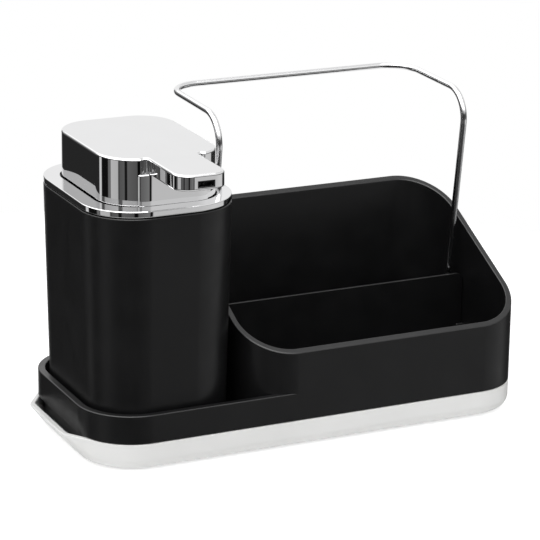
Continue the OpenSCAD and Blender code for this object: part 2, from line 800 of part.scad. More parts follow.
module head_core() {
    duct_len = -spout_y - shell_t - nozzle_l;
    color(black) at_pump() difference() {
        union() {
            translate([0, 0, core_z]) linear_extrude(core_t) difference() {
                head_outline(shell_t + touch_gap);
                translate([0, -head_d / 2])
                    square([spout_w + 6 * notch_r, 4 * shell_t + 2 * notch_r], center = true);
            }
            translate([0, 0, boss_bottom]) cylinder(d = boss_d, h = duct_z1 - boss_bottom);
            translate([slot_x - duct_w / 2, -duct_len, duct_z0]) cube([duct_w, duct_len, duct_z1 - duct_z0]);
            translate([-rib_t / 2, -boss_d, core_z]) cube([rib_t, 2 * boss_d, 2 * core_t]);
            translate([-boss_d, -rib_t / 2, core_z]) cube([2 * boss_d, rib_t, 2 * core_t]);
        }
        translate([0, 0, boss_bottom - over]) cylinder(d = stem_d, h = stem_top - boss_bottom + over);
        translate([0, 0, stem_top - over]) cylinder(d = stem_bore, h = slot_z - stem_top + over);
        translate([slot_x, -duct_len - over, slot_z]) rotate([-90, 0, 0])
            cylinder(d = duct_bore, h = duct_len + over);
    }
}

module nozzle_insert() {
    w = slot_w + 2 * nozzle_side;
    h = duct_z1 - duct_z0;
    color(black) at_pump() difference() {
        translate([0, 0, duct_z0]) linear_extrude(h) intersection() {
            translate([slot_x - w / 2, spout_y + shell_t]) square([w, nozzle_l]);
            spout_outline(shell_t + touch_gap);
        }
        translate([slot_x - slot_w / 2, spout_y, slot_z - slot_h / 2 + (slot_h - duct_bore) / 4])
            cube([slot_w, shell_t + nozzle_l - nozzle_back, (slot_h + duct_bore) / 2]);
        translate([slot_x, spout_y, slot_z]) rotate([-90, 0, 0])
            cylinder(d = duct_bore, h = shell_t + nozzle_l + over);
    }
}

module pump_stem() {
    color(milky) at_pump() difference() {
        translate([0, 0, stem_bottom]) cylinder(d = stem_d, h = stem_top - stem_bottom);
        translate([0, 0, stem_bottom - over]) cylinder(d = stem_bore, h = stem_top - stem_bottom + 2 * over);
        translate([0, 0, stem_bottom - over]) cylinder(d = out_room_d, h = out_room_h + over);
    }
}

module piston() {
    color(milky) at_pump() translate([0, 0, piston_rest - piston_h]) difference() {
        cylinder(d = bore_d - 2 * run_gap, h = piston_h);
        translate([0, 0, -over]) cylinder(d = out_seat_d, h = piston_h + 2 * over);
        translate([0, 0, piston_h - piston_socket]) cylinder(d = stem_d, h = piston_socket + over);
        translate([0, 0, (piston_h - piston_groove) / 2]) difference() {
            cylinder(d = bore_d + over, h = piston_groove);
            cylinder(d = bore_d - 2 * run_gap - 2 * groove_depth, h = piston_groove);
        }
    }
}

module outlet_ball() {
    rise = sqrt(pow(out_ball_d, 2) - pow(out_seat_d, 2)) / 2;
    color(steel) at_pump() translate([0, 0, stem_bottom + rise]) sphere(d = out_ball_d);
}

drip_tray();
foot_front_left();
foot_front_right();
foot_back_left();
foot_back_right();
holder();
divider();
towel_rail();
rail_sleeve_left();
rail_sleeve_right();
bottle();
bottle_pad();
collar_plate();
pump_well();
well_seal();
pump_cylinder();
cylinder_gasket();
cylinder_cap();
inlet_ball();
dip_tube();
return_spring();
head_shell();
head_core();
nozzle_insert();
pump_stem();
piston();
outlet_ball();
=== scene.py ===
import bpy
import bmesh
import json
import math
from mathutils import Matrix, Vector


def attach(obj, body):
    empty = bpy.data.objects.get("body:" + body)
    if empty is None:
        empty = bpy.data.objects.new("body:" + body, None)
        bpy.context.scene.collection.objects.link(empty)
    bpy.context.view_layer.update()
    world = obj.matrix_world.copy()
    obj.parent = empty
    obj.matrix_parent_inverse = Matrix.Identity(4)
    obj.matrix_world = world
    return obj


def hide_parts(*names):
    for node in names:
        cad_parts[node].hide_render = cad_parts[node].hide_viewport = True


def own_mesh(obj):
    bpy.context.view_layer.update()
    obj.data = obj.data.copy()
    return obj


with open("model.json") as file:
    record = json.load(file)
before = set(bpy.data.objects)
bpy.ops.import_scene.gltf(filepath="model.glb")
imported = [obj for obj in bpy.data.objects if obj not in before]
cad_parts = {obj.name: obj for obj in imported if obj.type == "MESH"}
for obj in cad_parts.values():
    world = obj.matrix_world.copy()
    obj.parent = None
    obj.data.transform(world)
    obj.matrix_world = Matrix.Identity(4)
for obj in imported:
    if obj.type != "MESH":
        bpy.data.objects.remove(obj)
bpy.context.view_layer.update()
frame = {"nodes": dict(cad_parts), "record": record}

# Sizes in millimetres, as in the part's source. X is counted from the middle of the holder,
# which stands body_x to the right of the frame's origin. Heights are above the worktop.
MM = 0.001
body_x = 3.6

# Holder: its ends, half its depth, corner radii, walls, floor and rims
left_x, right_x, half_w = -115.0, 115.0, 51.3
bay_r, bin_end_r, bin_r = 28.0, 25.6, 25.0
bin_x = -36.8
bin_mid_x = (bin_x + right_x) / 2
low_t, bin_t = 3.6, 3.0
floor_top, floor_t = 9.4, 2.4
low_rim_z, front_rim_z, back_rim_z = 28.2, 48.5, 99.0
slope = (back_rim_z - front_rim_z) / (2 * half_w)
rim_edge_r = 0.6
# Foot of the walls: the seam over the tray, the ledge inside, the underside, and the skirt's
# two faces, counted inwards from the outline
seam_z, seam_gap = 14.0, 0.25
ledge_z, sole_z = 16.4, 8.6
skirt_out, skirt_in = 2.75, 4.7
holder_n = 28

# Drip tray: underside, inner floor, foot radius, wall and rim
tray_z, tray_floor_z, tray_r, tray_t, tray_edge_r = 0.6, 2.6, 5.6, 2.2, 0.55
# Its lip: how far it reaches past the holder, and the round tips of its two corners
lip_reach, lip_tip_y, lip_tip_r, lip_band = 7.2, 19.2, 8.0, 0.6
lip_thicker = 0.8
tray_n = 288

# Divider's place, and the rail's legs, their lean and the wire
divider_y = 12.0
leg_x, leg_y, leg_z = 67.5, 23.616, 10.1
lean = math.radians(7.4)
wire_r, leg_bend_r, bar_bend_r = 1.6, 14.5, 16.0

# Bottle and pump: their place, the bottle's and the well's outlines, the collar, the flange
# under it, and the well's underside and bore
pump_x = -74.5
at_pump = (body_x + pump_x, 0.0, 0.0)
bottle_hw, bottle_hd, bottle_r = 37.2, 47.6, 26
well_hw, well_hd, well_rs = 29.3, 39.7, (20.7, 15.4, 18.7, 18.7)
collar_z, collar_top = 123.1, 126.1
flange_z, well_z, bore_r = 124.6, 106.5, 8.55

# Head: its block, the tongue, the notches beside it and the slot in its tip
head_hw, head_hd = 28.6, 39.0
left_r, right_r, back_r = 20.0, 14.7, 18.0
head_z, head_top, spout_z, shell_t = 122.1, 148.6, 140.9, 1.6
head_edge_r = 1.2
tongue_l, tongue_r, tip_y, tip_r = -10.1, 14.9, -73.0, 8.0
notch_r = 1.8
slot_l, slot_r, slot_z0, slot_z1, slot_corner_r = -0.7, 7.9, 142.2, 145.6, 0.2

# Return spring's ends, and the head's stroke
spring_low, spring_high = 69.61, 93.39


# ---------------------------------------------------------------- outlines
def rim_z(y):
    """Height of the bin's sloping rim."""
    return front_rim_z + slope * (y + half_w)


def arc(cx, cy, r, a0, a1, n):
    out = []
    for i in range(n + 1):
        a = math.radians(a0 + (a1 - a0) * i / n)
        out.append((cx + r * math.cos(a), cy + r * math.sin(a)))
    return out


def corners(x0, x1, y0, y1, r_lf, r_rf, r_rb, r_lb):
    """The corner arcs of a rounded rectangle: right front, right back, left back, left front."""
    return [(x1 - r_rf, y0 + r_rf, r_rf, -90), (x1 - r_rb, y1 - r_rb, r_rb, 0),
            (x0 + r_lb, y1 - r_lb, r_lb, 90), (x0 + r_lf, y0 + r_lf, r_lf, 180)]


def outline(cs, inset, n):
    pts = []
    for cx, cy, r, a in cs:
        pts += arc(cx, cy, r - inset, a, a + 90, n)
    return pts


def flat(points, z):
    return [(x, y, z) for x, y in points]


def stack(cs, profile, n):
    """Outlines one above the other, with a profile's insets and heights."""
    return [flat(outline(cs, inset, n), z) for inset, z in profile]


def quarter(n):
    return [math.radians(90.0 * i / n) for i in range(n + 1)]


def whole_turn(n):
    return [2 * math.pi * k / n for k in range(n)]


def top_edge(top, r, n):
    """Insets and heights of a rounded top edge, from the wall up to the flat."""
    return [(r * (1 - math.cos(a)), top - r + r * math.sin(a)) for a in quarter(n)]


def low_edge(low, r, n):
    """Insets and heights of a rounded bottom edge, from the flat out to the wall."""
    return [(r * (1 - math.sin(a)), low + r * (1 - math.cos(a))) for a in quarter(n)]


def disc(centre, u, w, r, n):
    return [tuple(centre + u * (r * math.cos(a)) + w * (r * math.sin(a))) for a in whole_turn(n)]


holder_cs = corners(left_x, right_x, -half_w, half_w, bay_r, bin_end_r, bin_end_r, bay_r)
bin_cs = corners(bin_x, right_x, -half_w, half_w, bin_r, bin_end_r, bin_end_r, bin_r)
bottle_cs = corners(-bottle_hw, bottle_hw, -bottle_hd, bottle_hd, *[bottle_r] * 4)
well_cs = corners(-well_hw, well_hw, -well_hd, well_hd, *well_rs)
head_cs = corners(-head_hw, head_hw, -head_hd, head_hd, left_r, right_r, back_r, back_r)
left_c = (-head_hw + left_r, -head_hd + left_r)
right_c = (head_hw - right_r, -head_hd + right_r)


# ---------------------------------------------------------------- meshes
class Shape:
    """A mesh in the making, in millimetres, in the holder's coordinates."""

    def __init__(self):
        self.v, self.f = [], []

    def ring(self, points):
        start = len(self.v)
        self.v += [tuple(p) for p in points]
        return list(range(start, len(self.v)))

    def skin(self, rings):
        """Quads between each ring and the next."""
        for a, b in zip(rings, rings[1:]):
            for i in range(len(a)):
                j = (i + 1) % len(a)
                self.f.append((a[i], a[j], b[j], b[i]))

    def loft(self, rings):
        """A solid through the rings, with a face over the first and the last."""
        idx = [self.ring(r) for r in rings]
        self.skin(idx)
        self.f.append(tuple(idx[0][::-1]))
        self.f.append(tuple(idx[-1]))

    def torus(self, rings):
        """A solid whose last ring joins the first."""
        idx = [self.ring(r) for r in rings]
        self.skin(idx + idx[:1])

    def build(self, name, shift=(body_x, 0.0, 0.0), sharp=32.0, flat_weight=True):
        me = bpy.data.meshes.new(name)
        me.from_pydata([((x + shift[0]) * MM, (y + shift[1]) * MM, (z + shift[2]) * MM)
                        for x, y, z in self.v], [], self.f)
        bm = bmesh.new()
        bm.from_mesh(me)
        bmesh.ops.remove_doubles(bm, verts=bm.verts, dist=1e-6)
        bmesh.ops.recalc_face_normals(bm, faces=bm.faces)
        bm.to_mesh(me)
        bm.free()
        ob = link(name, me)
        finish_mesh(ob, sharp, flat_weight)
        return ob


def link(name, data):
    ob = bpy.data.objects.new(name, data)
    bpy.context.scene.collection.objects.link(ob)
    return ob


def finish_mesh(ob, sharp, flat_weight=True):
    """Smooth shading that keeps flat faces flat and edges over the angle crisp."""
    me = ob.data
    me.polygons.foreach_set("use_smooth", [True] * len(me.polygons))
    me.set_sharp_from_angle(angle=math.radians(sharp))
    if flat_weight:
        m = ob.modifiers.new("weighted", "WEIGHTED_NORMAL")
        m.mode = "FACE_AREA"
        m.weight = 50
        m.keep_sharp = True


def combine(ob, other, operation):
    """Adds the other solid to ob, or takes it away, and removes the other."""
    m = ob.modifiers.new("solids", "BOOLEAN")
    m.operation = operation
    m.solver = "EXACT"
    m.object = other
    dg = bpy.context.evaluated_depsgraph_get()
    dg.update()
    me = bpy.data.meshes.new_from_object(ob.evaluated_get(dg), depsgraph=dg)
    ob.modifiers.clear()
    ob.data = me
    bpy.data.objects.remove(other)


def join(name, parts):
    """One object from several, with their meshes laid side by side."""
    bm = bmesh.new()
    for ob in parts:
        bm.from_mesh(ob.data)
    me = bpy.data.meshes.new(name)
    bm.to_mesh(me)
    bm.free()
    for ob in parts:
        bpy.data.objects.remove(ob)
    return link(name, me)


def rounded_bar(shape, x0, x1, y0, y1, top):
    """A rib on the holder's floor, with rounded upright corners and a rounded top edge."""
    foot_z, corner_r, edge_r, n = 8.8, 0.6, 0.5, 4
    cs = corners(x0, x1, y0, y1, *[corner_r] * 4)
    shape.loft(stack(cs, [(0.0, foot_z)] + top_edge(top, edge_r, n), n))


# ---------------------------------------------------------------- camera
cam_data = bpy.data.cameras.new("camera")
cam_data.lens = 173.04
cam_data.sensor_width = 36.0
cam_data.clip_start = 0.05
cam_data.clip_end = 20.0
cam = link("camera", cam_data)
cam_at = (-0.52560, -1.09518, 0.45885)
az, el, roll = math.radians(-25.629), math.radians(17.585), math.radians(0.809)
back = Vector((math.sin(az) * math.cos(el), -math.cos(az) * math.cos(el), math.sin(el)))
level_right = Vector((math.cos(az), math.sin(az), 0))
level_up = back.cross(level_right)
right = math.cos(roll) * level_right + math.sin(roll) * level_up
up = -math.sin(roll) * level_right + math.cos(roll) * level_up
cam.matrix_world = Matrix((
    (right.x, up.x, back.x, cam_at[0]),
    (right.y, up.y, back.y, cam_at[1]),
    (right.z, up.z, back.z, cam_at[2]),
    (0, 0, 0, 1)))
bpy.context.scene.camera = cam


# ---------------------------------------------------------------- drip tray
def tray_support(circles, inset, angle):
    """How far the hull of the circles reaches in a direction."""
    c, s = math.cos(angle), math.sin(angle)
    return max(cx * c + cy * s + r for cx, cy, r in circles) - inset


def envelope(points, z):
    """Upper concave envelope of (z, h) points, at z."""
    tiny = 1e-9
    hull = []
    for p in sorted(points):
        while len(hull) >= 2:
            (z0, h0), (z1, h1) = hull[-2], hull[-1]
            if (h1 - h0) * (p[0] - z0) <= (p[1] - h0) * (z1 - z0):
                hull.pop()
            else:
                break
        if hull and abs(hull[-1][0] - p[0]) < tiny:
            if hull[-1][1] >= p[1]:
                continue
            hull.pop()
        hull.append(p)
    for (z0, h0), (z1, h1) in zip(hull, hull[1:]):
        if z <= z1 + tiny:
            t = 0 if z1 == z0 else (z - z0) / (z1 - z0)
            return h0 + (h1 - h0) * t
    return hull[-1][1]


def tray_rings(low, r, inset, profile, thicker=0.0):
    """Outlines of the hull of the tray's rounded foot, its wall and its lip, at a profile's
    heights. The wall is thicker by that much at the lip's end, and less and less away from it."""
    base = [(cx, cy, cr) for cx, cy, cr, _ in holder_cs]
    lip = base + [(left_x - lip_reach + lip_tip_r, s * lip_tip_y, lip_tip_r) for s in (-1, 1)]
    angles = whole_turn(tray_n)
    table = []
    for a in angles:
        hb, hl = tray_support(base, inset, a), tray_support(lip, inset, a)
        pts = [(z, hb - d) for d, z in low_edge(low, r, 9)]
        table.append(pts + [(seam_z - lip_band, hl), (seam_z, hl)])
    rings = []
    for d, z in profile:
        h = [envelope(t, z) - d - thicker * max(0.0, -math.cos(a)) ** 10
             for t, a in zip(table, angles)]
        ring = []
        for i, a in enumerate(angles):
            j = (i + 1) % tray_n
            b = a + 2 * math.pi / tray_n
            det = math.sin(b - a)
            ring.append(((h[i] * math.sin(b) - h[j] * math.sin(a)) / det,
                         (h[j] * math.cos(a) - h[i] * math.cos(b)) / det, z))
        rings.append(ring)
    return rings


def make_tray():
    s = Shape()
    wall_zs = [7.4, 9.0, 10.6, 12.0]
    rim = top_edge(seam_z, tray_edge_r, 5)
    outer = [(0.0, z) for z in [z for _, z in low_edge(tray_z, tray_r, 9)] + wall_zs] + rim
    inner_r = tray_r - tray_t
    inner_zs = wall_zs[::-1] + [z for _, z in low_edge(tray_floor_z, inner_r, 7)[::-1]]
    inner = [(-d, z) for d, z in rim[::-1]] + [(0.0, z) for z in inner_zs]
    s.loft(tray_rings(tray_z, tray_r, 0.0, outer)
           + tray_rings(tray_floor_z, inner_r, tray_t, inner, lip_thicker))
    return s.build("tray_shell", sharp=40)


# ---------------------------------------------------------------- holder
def make_bin_wall():
    """The bin's wall, with a rounded sloping rim. At the bay it goes down to the floor."""
    bay_side_x, bay_side_y, bay_side_z = -20, 48.4, 9.0

    def from_foot(dz):
        return lambda x, y: dz + (bay_side_z if x < bay_side_x and abs(y) < bay_side_y
                                  else seam_z + seam_gap)

    def from_rim(dz):
        return lambda x, y: rim_z(y) + dz

    def at(z):
        return lambda x, y: z

    edge = top_edge(0.0, rim_edge_r, 6)
    straight = from_rim(-rim_edge_r - 1.2)
    profile = [(0.3, from_foot(0.0)), (0.08, from_foot(0.1)), (0.0, from_foot(0.35)),
               (0.0, straight)]
    profile += [(d, from_rim(dz)) for d, dz in edge]
    profile += [(bin_t - d, from_rim(dz)) for d, dz in edge[::-1]]
    profile += [(bin_t, straight), (bin_t, at(ledge_z + 0.8)), (bin_t + 0.1, at(ledge_z + 0.2)),
                (bin_t + 0.4, at(ledge_z)), (skirt_in - 0.2, at(ledge_z)),
                (skirt_in, at(ledge_z - 0.2)), (skirt_in, at(sole_z)), (skirt_out, at(sole_z)),
                (skirt_out, from_foot(-0.01))]
    s = Shape()
    s.torus([[(x, y, height(x, y)) for x, y in outline(bin_cs, inset, holder_n)]
             for inset, height in profile])
    return s.build("bin_wall", flat_weight=False)


def make_low_wall():
    """The low wall round the bay, from the bin's front corner to its back corner. Its two ends
    run on inside the bin's wall, and thin out there."""
    end_x, merge_x, thin_from_x = -9.0, bin_x + bin_r, -24.7
    thin_t, thin_in = 1.9, 4.0
    sink, sink_rate, sink_start = 0.08, 0.03, 0.02
    corner_x, steps = left_x + bay_r, 16
    side_xs = [end_x + (corner_x - end_x) * i / steps for i in range(steps + 1)]
    path = [(x, -half_w, 0.0, -1.0) for x in side_xs]
    for side, a0 in ((-1, 270), (1, 180)):
        for nx, ny in arc(0.0, 0.0, 1.0, a0, a0 - 90, holder_n):
            path.append((corner_x + bay_r * nx, side * (half_w - bay_r) + bay_r * ny, nx, ny))
    path += [(x, half_w, 0.0, 1.0) for x in side_xs[::-1]]
    sections = []
    for x, y, nx, ny in path:
        thin = min(1.0, max(0.0, (x - thin_from_x) / (merge_x - thin_from_x)))
        t = low_t + (thin_t - low_t) * thin
        deep = skirt_in + (thin_in - skirt_in) * thin
        out = 0.0 if x < merge_x else min(sink, sink_rate * (x - merge_x) + sink_start)
        profile = [(out + 0.3, seam_z + seam_gap), (out + 0.08, seam_z + 0.35),
                   (out, seam_z + 0.6), (out, low_rim_z - rim_edge_r - 1.0)]
        profile += [(out + d, z) for d, z in top_edge(low_rim_z, rim_edge_r, 6)]
        inner_r = min(rim_edge_r, t / 2 - 0.05)
        profile += [(t - d, z) for d, z in top_edge(low_rim_z, inner_r, 6)[::-1]]
        profile += [(t, ledge_z + 0.8), (t + 0.1, ledge_z + 0.2),
                    (min(t + 0.4, deep - 0.2), ledge_z), (deep - 0.15, ledge_z),
                    (deep, ledge_z - 0.2), (deep, sole_z), (skirt_out, sole_z),
                    (skirt_out, seam_z + seam_gap - 0.01)]
        sections.append([(x - nx * d, y - ny * d, z) for d, z in profile])
    s = Shape()
    s.loft(sections)
    return s.build("low_wall", flat_weight=False)


def make_skirt():
    """The skirt that nests in the tray."""
    profile = [(2.72, seam_z + 0.6), (2.72, 7.0), (2.95, 6.45), (3.4, 6.25), (4.3, 6.25),
               (skirt_in, 6.6), (skirt_in, 14.6)]
    s = Shape()
    s.torus(stack(holder_cs, profile, holder_n))
    return s.build("skirt", flat_weight=False)


def make_floor():
    """The holder's floor, with two rows of drain slots that flare at the top."""
    plate_inset = 4.5
    drain_w, drain_l, drain_r, pitch, count, flare, over = 3.0, 24.0, 1.49, 12, 9, 0.5, 1
    under_z = floor_top - floor_t
    s = Shape()
    s.loft(stack(holder_cs, [(plate_inset, under_z), (plate_inset, floor_top)], holder_n))
    plate = s.build("floor_plate", flat_weight=False)
    s = Shape()
    for i in range(count):
        for side in (-1, 1):
            cx, cy = bin_x + bin_r + pitch * i, side * half_w / 2
            cs = corners(cx - drain_w / 2, cx + drain_w / 2, cy - drain_l / 2, cy + drain_l / 2,
                         *[drain_r] * 4)
            s.loft(stack(cs, [(0, under_z - over), (0, floor_top - flare), (-flare, floor_top),
                              (-flare, floor_top + over)], 8))
    combine(plate, s.build("slots", flat_weight=False), "DIFFERENCE")
    return plate


def make_ribs():
    """The divider's channels at the bin's two ends, and a rib beside each of the rail's sockets."""
    rib_t, channel_y, channel_top, rib_y, rib_end, rib_top = 0.8, 1.85, 28.0, 23.62, 72.6, 21.2
    s = Shape()
    for side in (-1, 1):
        y = divider_y + side * channel_y
        for x0, x1 in ((bin_x + 2.0, bin_x + bin_t + 4.0), (right_x - bin_t - 4.0, right_x - 2.0)):
            rounded_bar(s, x0, x1, y - rib_t, y + rib_t, channel_top)
    for side in (-1, 1):
        x0, x1 = sorted((bin_mid_x + side * leg_x, bin_mid_x + side * rib_end))
        rounded_bar(s, x0, x1, rib_y - rib_t, rib_y + rib_t, rib_top)
    return s.build("ribs", flat_weight=False)


def make_sockets():
    """The two sockets for the rail's legs, which lean with them: radii, and heights along a leg."""
    axis = Vector((0, -math.sin(lean), math.cos(lean)))
    across = Vector((1, 0, 0))
    profile = [(4.2, -2.0), (4.2, 12.5), (4.05, 12.85), (3.7, 13.0), (3.1, 13.0), (2.75, 12.85),
               (2.6, 12.5), (2.6, -0.95)]
    s = Shape()
    for side in (-1, 1):
        foot = Vector((bin_mid_x + side * leg_x, leg_y, leg_z))
        s.loft([disc(foot + axis * h, across, axis.cross(across), r, 40) for r, h in profile])
    return s.build("posts", flat_weight=False)


def make_holder():
    out = join("holder_shell", [make_bin_wall(), make_low_wall(), make_skirt(), make_floor(),
                                make_ribs(), make_sockets()])
    finish_mesh(out, 38)
    return out


# ---------------------------------------------------------------- divider
def make_divider():
    x0, x1, z0, z1 = -33.5, 111.7, 9.65, 55.0
    t, top_r, low_r, edge_r = 1.5, 4.0, 0.3, 0.35
    foot_h, foot_in = 7.0, 1.7
    cs = corners(x0, x1, z0 + foot_h, z1, low_r, low_r, top_r, top_r)

    def ring(inset, y):
        foot_l, foot_r = x0 + foot_in + inset, x1 - foot_in - inset
        low, high = z0 + inset, z0 + foot_h + inset
        pts = [(foot_l, low), (foot_r, low), (foot_r, high)] + outline(cs, inset, 12)
        return [(x, y, z) for x, z in pts + [(foot_l, high)]]

    front, rear = divider_y - t / 2, divider_y + t / 2
    rings = [ring(d, front + depth) for d, depth in low_edge(0.0, edge_r, 4)]
    rings += [ring(d, rear - depth) for d, depth in low_edge(0.0, edge_r, 4)[::-1]]
    s = Shape()
    s.loft(rings)
    return s.build("divider_plate", sharp=40)


# ---------------------------------------------------------------- towel rail
def fillet_path(points, radii, n=26):
    """A polyline with its inner corners turned into arcs."""
    out = [Vector(points[0])]
    for i in range(1, len(points) - 1):
        p, a, b = Vector(points[i]), Vector(points[i - 1]), Vector(points[i + 1])
        u, w = (a - p).normalized(), (b - p).normalized()
        turn = math.pi - u.angle(w)
        r = radii[i - 1]
        cut = r * math.tan(turn / 2)
        centre = p + (u + w).normalized() * (r / math.cos(turn / 2))
        start, end = p + u * cut - centre, p + w * cut - centre
        for k in range(n + 1):
            a = turn * k / n
            out.append(centre + (start * math.sin(turn - a) + end * math.sin(a)) / math.sin(turn))
    out.append(Vector(points[-1]))
    return out


def sweep(shape, path, radius, sides=28):
    """A round tube along a path, with flat ends."""
    tangents = []
    for i in range(len(path)):
        a, b = path[max(i - 1, 0)], path[min(i + 1, len(path) - 1)]
        tangents.append((b - a).normalized())
    normal = tangents[0].orthogonal().normalized()
    rings = []
    for i, (p, t) in enumerate(zip(path, tangents)):
        if i:
            normal = (normal - t * normal.dot(t)).normalized()
        rings.append(disc(p, normal, t.cross(normal), radius, sides))
    shape.loft(rings)


def make_rail():
    """One wire: up a leg, back along an arm, across the bar, and down the other side."""
    top_y, top_z, bar_y, bar_z = 5.264, 151.4, 71.449, 152.786
    side = [(leg_y, leg_z), (top_y, top_z), (bar_y, bar_z)]
    points = [(bin_mid_x - leg_x, y, z) for y, z in side]
    points += [(bin_mid_x + leg_x, y, z) for y, z in side[::-1]]
    s = Shape()
    sweep(s, fillet_path(points, [leg_bend_r, bar_bend_r, bar_bend_r, leg_bend_r]), wire_r)
    return s.build("rail_wire", sharp=50, flat_weight=False)


# ---------------------------------------------------------------- bottle, collar and well
def make_bottle():
    """The bottle, whose walls lean inwards to its foot, with an open mouth and a hollow inside."""
    top, foot, h, foot_r = 122.6, 10.05, 112.95, 4.0
    upright, edge_r, wall = 2, 0.7, 2.4
    fall = math.tan(math.radians(1.1))
    foot_inset = fall * h

    def inset_at(z):
        return fall * (top - upright - z) * (h / (top - upright - foot - foot_r))

    profile = [(foot_inset + d, z) for d, z in low_edge(foot, foot_r, 8)]
    profile += [(inset_at(z), z) for z in (40.0, 70.0, 100.0)] + [(0.0, top - upright)]
    profile += top_edge(top, edge_r, 4)
    profile += [(wall - 0.4, top), (wall, top - 0.4), (wall, top - upright),
                (wall + foot_inset, 14.0), (wall + 1.3 + foot_inset, 12.65)]
    s = Shape()
    s.loft(stack(bottle_cs, profile, 32))
    return s.build("bottle_shell", shift=at_pump, sharp=45)


def make_collar():
    """The collar plate, hollow below, with an opening round the well."""
    edge_r, low_r, mouth_r = 0.45, 0.5, 0.12
    wall, mouth, n = 1.3, -0.2, 32
    outer = low_edge(collar_z, low_r, 5) + top_edge(collar_top, edge_r, 5)
    opening = [(mouth - d, z) for d, z in top_edge(collar_top, mouth_r, 4)[::-1]]
    opening.append((mouth, flange_z))
    s = Shape()
    s.torus(stack(bottle_cs, outer, n) + stack(well_cs, opening, n)
            + stack(bottle_cs, [(wall, flange_z), (wall, collar_z)], n))
    return s.build("collar_trim", shift=at_pump, sharp=45)


def make_well():
    """The well under the collar: a flange, a wall and a floor with the pump's bore."""
    t, flange_inset, base_t, n = 1.8, 1.35, 2, 24
    rings = stack(well_cs, [(-t, well_z + 1), (-t, flange_z - t)], n)
    rings += stack(bottle_cs, [(flange_inset, flange_z - t), (flange_inset, flange_z)], n)
    rings += stack(well_cs, [(0, flange_z), (0, well_z + base_t + 1), (1, well_z + base_t)], n)
    turns = [math.atan2(y, x) for x, y in outline(well_cs, 0, n)]
    rings += [[(bore_r * math.cos(a), bore_r * math.sin(a), z) for a in turns]
              for z in (well_z + base_t, well_z)]
    rings += stack(well_cs, [(-0.8, well_z)], n)
    s = Shape()
    s.torus(rings)
    return s.build("well_shell", shift=at_pump, sharp=40)


# ---------------------------------------------------------------- head
def front_edge_y(x):
    """The front edge of the head's block at x."""
    (cx, cy), r = (left_c, left_r) if x < left_c[0] else (right_c, right_r)
    if left_c[0] <= x <= right_c[0]:
        return -head_hd
    return cy - math.sqrt(r ** 2 - (x - cx) ** 2)


def tongue_outline(inset, n=24):
    """The tongue in plan, from its rounded tip back to a straight end inside the block."""
    end_y, other_r = -26.0, tip_r - 1
    pts = [(tongue_l + inset, end_y)]
    pts += arc(tongue_l + tip_r, tip_y + tip_r, tip_r - inset, 180, 270, n)
    pts += arc(tongue_r - other_r, tip_y + other_r, other_r - inset, 270, 360, n)
    return pts + [(tongue_r - inset, end_y)]


def apron_ring(inset, z):
    """The front panel below the tongue, which stands a little proud of the block between two steps.
    It follows the block's corners through an angle on either side, in degrees, and each step takes
    some of it. Its top is lower at the steps, which rounds its shoulders."""
    start, front, end, lead = 249.6, 270, 297.0, 0.8
    proud, sunk, step, shoulder, drop = 0.62, 0.04, 3.6, 3.2, 1.5
    back_l, back_r, back_y = -13.0, 18.0, -28.0

    def point(centre, r, angle, along):
        t = along / step
        rise = min(max(t, 0.0), 1.0)
        r += proud * rise * rise * (3 - 2 * rise) - sunk - inset
        short = max(0.0, 1.0 - (t + 0.25) * step / shoulder)
        a = math.radians(angle)
        return (centre[0] + r * math.cos(a), centre[1] + r * math.sin(a), z - drop * short * short)

    n = 40
    pts = []
    for i in range(n + 1):
        a = start + (front - start) * i / n
        pts.append(point(left_c, left_r, a, a - (start + lead)))
    for i in range(n + 1):
        a = front + (end - front) * i / n
        pts.append(point(right_c, right_r, a, (end - lead) - a))
    return pts + [(back_r, back_y, z), (back_l, back_y, z)]


def slot_outline(play=0.0, inset=0.0):
    """The slot in the tongue's tip, as (x, z) points. Play narrows it and keeps its corners."""
    cs = corners(slot_l + play, slot_r - play, slot_z0 + play, slot_z1 - play, *[slot_corner_r] * 4)
    return outline(cs, inset, 3)


def solid(name, rings):
    s = Shape()
    s.loft(rings)
    return s.build(name, shift=at_pump, sharp=35, flat_weight=False)


def make_head():
    n, tongue_low_r, apron_edge_r, over = 28, 1.1, 0.5, 1
    edge = top_edge(head_top, head_edge_r, 8)
    foot = [(0.3, head_z), (0.08, head_z + 0.08), (0.0, head_z + 0.3)]
    head = solid("head_cap", stack(head_cs, foot + edge, n))

    tongue = [flat(tongue_outline(d), z) for d, z in low_edge(spout_z, tongue_low_r, 8) + edge]
    combine(head, solid("tongue", tongue), "UNION")

    for x in (tongue_l - notch_r, tongue_r + notch_r):
        y = front_edge_y(x)
        profile = [(notch_r, spout_z - 0.4)] + [(notch_r + d, z) for d, z in edge]
        profile.append((notch_r + head_edge_r, head_top + over))
        notch = [[(x + r * math.cos(a), y + r * math.sin(a), z) for a in whole_turn(48)]
                 for r, z in profile]
        combine(head, solid("notch", notch), "DIFFERENCE")

    apron_z, apron_top = head_z + 0.2, spout_z + 0.1
    apron = [[(x, y, apron_z) for x, y, _ in apron_ring(0.0, apron_z)]]
    apron += [apron_ring(d, z) for d, z in top_edge(apron_top, apron_edge_r, 6)]
    combine(head, solid("apron", apron), "UNION")

    hollow = stack(head_cs, [(shell_t, head_z - over), (shell_t, spout_z - 2)], n)
    combine(head, solid("hollow", hollow), "DIFFERENCE")
    channel = [flat(tongue_outline(shell_t), z) for z in (spout_z + shell_t, head_top - shell_t)]
    combine(head, solid("channel", channel), "DIFFERENCE")
    slot = [[(x, y, z) for x, z in slot_outline()] for y in (tip_y - over, tip_y + 2.4)]
    combine(head, solid("slot", slot), "DIFFERENCE")
    finish_mesh(head, 35)
    return head


